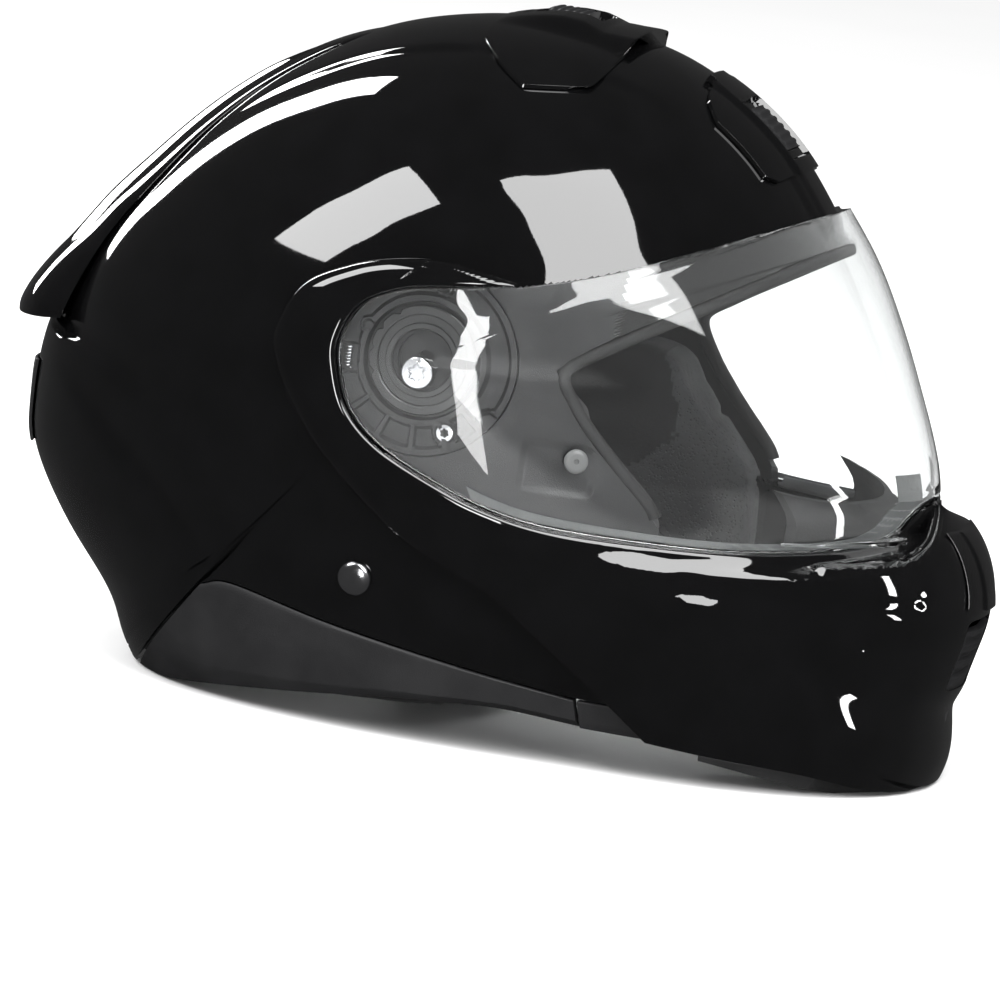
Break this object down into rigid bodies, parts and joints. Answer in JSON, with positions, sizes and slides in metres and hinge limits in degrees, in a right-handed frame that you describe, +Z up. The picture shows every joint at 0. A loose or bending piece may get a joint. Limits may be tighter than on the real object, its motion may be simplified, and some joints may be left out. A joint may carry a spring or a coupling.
{
  "type": "motorcycle helmet",
  "caption": "Full-face motorcycle helmet with a flip-up chin bar, clear visor, drop-down smoked inner visor, air vents, padding and ratchet chin strap.",
  "frame": {"origin": "middle of the bounding box's bottom face, on the surface the helmet stands on", "axes": "+X to the front (chin), +Y to the wearer's left, +Z up to the crown"},
  "size_m": [0.3598, 0.2438, 0.2503],
  "materials": {
    "gloss_black": "deep gloss black clear coat",
    "matt_black": "fine-grained matt dark grey",
    "rubber": "dull black rubber",
    "clear": "clear scratch-resistant polycarbonate",
    "smoke": "smoked polycarbonate",
    "foam": "beaded expanded foam",
    "padding": "brushed knit and velour over foam",
    "webbing": "woven polyester webbing",
    "steel": "polished steel",
    "red": "red release parts"
  },
  "bodies": {
    "shell": {"outer_shell": "gloss_black", "impact_liner": "foam", "crown_liner": "padding", "cheek_pad_right": "padding", "cheek_pad_left": "padding", "neck_roll": "padding", "eyeport_seal": "rubber", "rear_spoiler": "gloss_black", "exhaust_grille": "matt_black", "top_vent_housing": "gloss_black", "forehead_vent_housing": "gloss_black", "lower_skirt_right": "matt_black", "lower_skirt_left": "matt_black", "intercom_cover_right": "matt_black", "intercom_cover_left": "matt_black", "rear_edge_trim": "rubber", "strap_rivet_right": "steel", "strap_rivet_left": "steel", "sun_visor_pin_right": "matt_black", "sun_visor_pin_left": "matt_black", "latch_receiver_right": "matt_black", "latch_receiver_left": "matt_black", "strap_webbing_right": "webbing", "strap_webbing_left": "webbing", "buckle_body": "steel", "lever_pin": "steel"},
    "chin_bar": {"chin_bar": "gloss_black", "chin_liner": "foam", "chin_edge_trim": "rubber", "breath_guard": "rubber", "visor_gasket": "rubber", "chin_intake_grille": "matt_black", "base_plate_right": "matt_black", "base_plate_left": "matt_black", "pivot_bolt_right": "steel", "pivot_bolt_left": "steel", "plate_screw_right": "steel", "plate_screw_left": "steel", "latch_pin_right": "steel", "latch_pin_left": "steel"},
    "visor": {"visor_shield": "clear", "ratchet_ring_right": "matt_black", "ratchet_ring_left": "matt_black", "pinlock_pin_right": "clear", "pinlock_pin_left": "clear", "visor_tab": "clear"},
    "sun_visor": {"sun_visor": "smoke"},
    "sun_visor_slider": {"sun_visor_slider": "matt_black"},
    "top_vent_slider": {"top_vent_slider": "gloss_black"},
    "forehead_vent_slider": {"forehead_vent_slider": "matt_black"},
    "chin_vent_flap": {"chin_vent_flap": "gloss_black"},
    "release_button": {"release_button": "red"},
    "ratchet_tongue": {"ratchet_tongue": "matt_black"},
    "buckle_lever": {"buckle_lever": "red"}
  },
  "joints": [
    {"name": "chin_bar_hinge", "type": "hinge", "parent": "shell", "child": "chin_bar", "pos_m": [-0.00547, 0, 0.134], "axis": [0, -1, 0], "range_deg": [0, 70]},
    {"name": "visor_hinge", "type": "hinge", "parent": "chin_bar", "child": "visor", "pos_m": [-0.00547, 0, 0.134], "axis": [0, -1, 0], "range_deg": [0, 34]},
    {"name": "sun_visor_hinge", "type": "hinge", "parent": "shell", "child": "sun_visor", "pos_m": [-0.00547, 0, 0.134], "axis": [0, 1, 0], "range_deg": [0, 36]},
    {"name": "sun_visor_slide", "type": "slide", "parent": "shell", "child": "sun_visor_slider", "axis": [-1, 0, 0], "range_m": [0, 0.025]},
    {"name": "top_vent_slide", "type": "slide", "parent": "shell", "child": "top_vent_slider", "axis": [-1, 0, 0], "range_m": [0, 0.006]},
    {"name": "forehead_vent_slide", "type": "slide", "parent": "shell", "child": "forehead_vent_slider", "axis": [-0.69, 0, 0.7238], "range_m": [0, 0.004]},
    {"name": "chin_vent_rock", "type": "hinge", "parent": "chin_bar", "child": "chin_vent_flap", "pos_m": [0.16103, 0, 0.092], "axis": [0, -1, 0], "range_deg": [0, 9]},
    {"name": "release_press", "type": "slide", "parent": "chin_bar", "child": "release_button", "axis": [0, 0, 1], "range_m": [0, 0.003], "stiffness_N_per_m": 300, "springref_m": -0.002},
    {"name": "tongue_slide", "type": "slide", "parent": "shell", "child": "ratchet_tongue", "axis": [0, -1, 0], "range_m": [0, 0.006]},
    {"name": "lever_hinge", "type": "hinge", "parent": "shell", "child": "buckle_lever", "pos_m": [0.00853, -0.0306, 0.0182], "axis": [1, 0, 0], "range_deg": [0, 38], "stiffness_Nm_per_rad": 0.05, "springref_deg": -20.05}
  ],
  "couplings": [
    {"joint": "sun_visor_slide", "follows": "sun_visor_hinge", "m_per_rad": 0.0397}
  ]
}
